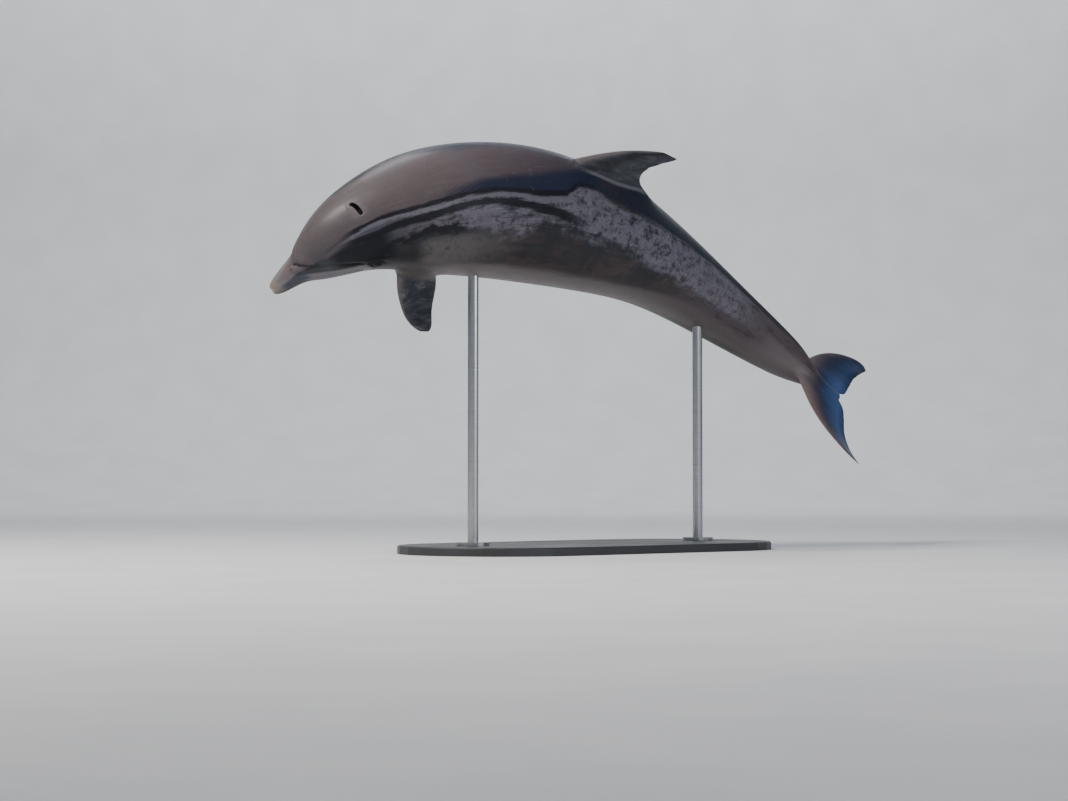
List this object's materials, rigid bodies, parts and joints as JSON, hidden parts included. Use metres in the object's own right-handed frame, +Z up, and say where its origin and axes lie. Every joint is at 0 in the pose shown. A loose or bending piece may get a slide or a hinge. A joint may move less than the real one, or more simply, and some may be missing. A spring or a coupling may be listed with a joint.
{
  "type": "dolphin display model",
  "caption": "Life-size still model of a leaping bottlenose dolphin, held by rods over a flat base.",
  "frame": {"origin": "on the floor, at the centre of the bottom of the overall box; the base's underside is at z = 0", "axes": "+Z up; the dolphin leaps towards -X and -Y, its back turned towards -Y, with its left side banked down"},
  "size_m": [2.1124, 1.5558, 1.3663],
  "materials": {
    "wet_skin_back": "gloss",
    "wet_skin_flank": "gloss",
    "wet_skin_fin": "gloss",
    "eye_dark": "gloss",
    "base_paint": "satin",
    "rod_steel": "satin"
  },
  "bodies": {
    "root": {"head": "wet_skin_back", "lower_jaw": "wet_skin_flank", "trunk": "wet_skin_back", "tail_stock": "wet_skin_back", "dorsal_fin": "wet_skin_fin", "flipper_left": "wet_skin_fin", "flipper_right": "wet_skin_fin", "fluke_left": "wet_skin_fin", "fluke_right": "wet_skin_fin", "eye_left": "eye_dark", "eye_right": "eye_dark", "stand_base": "base_paint", "stand_rod_front": "rod_steel", "stand_rod_rear": "rod_steel", "stand_foot_front": "rod_steel", "stand_foot_rear": "rod_steel"}
  },
  "joints": []
}
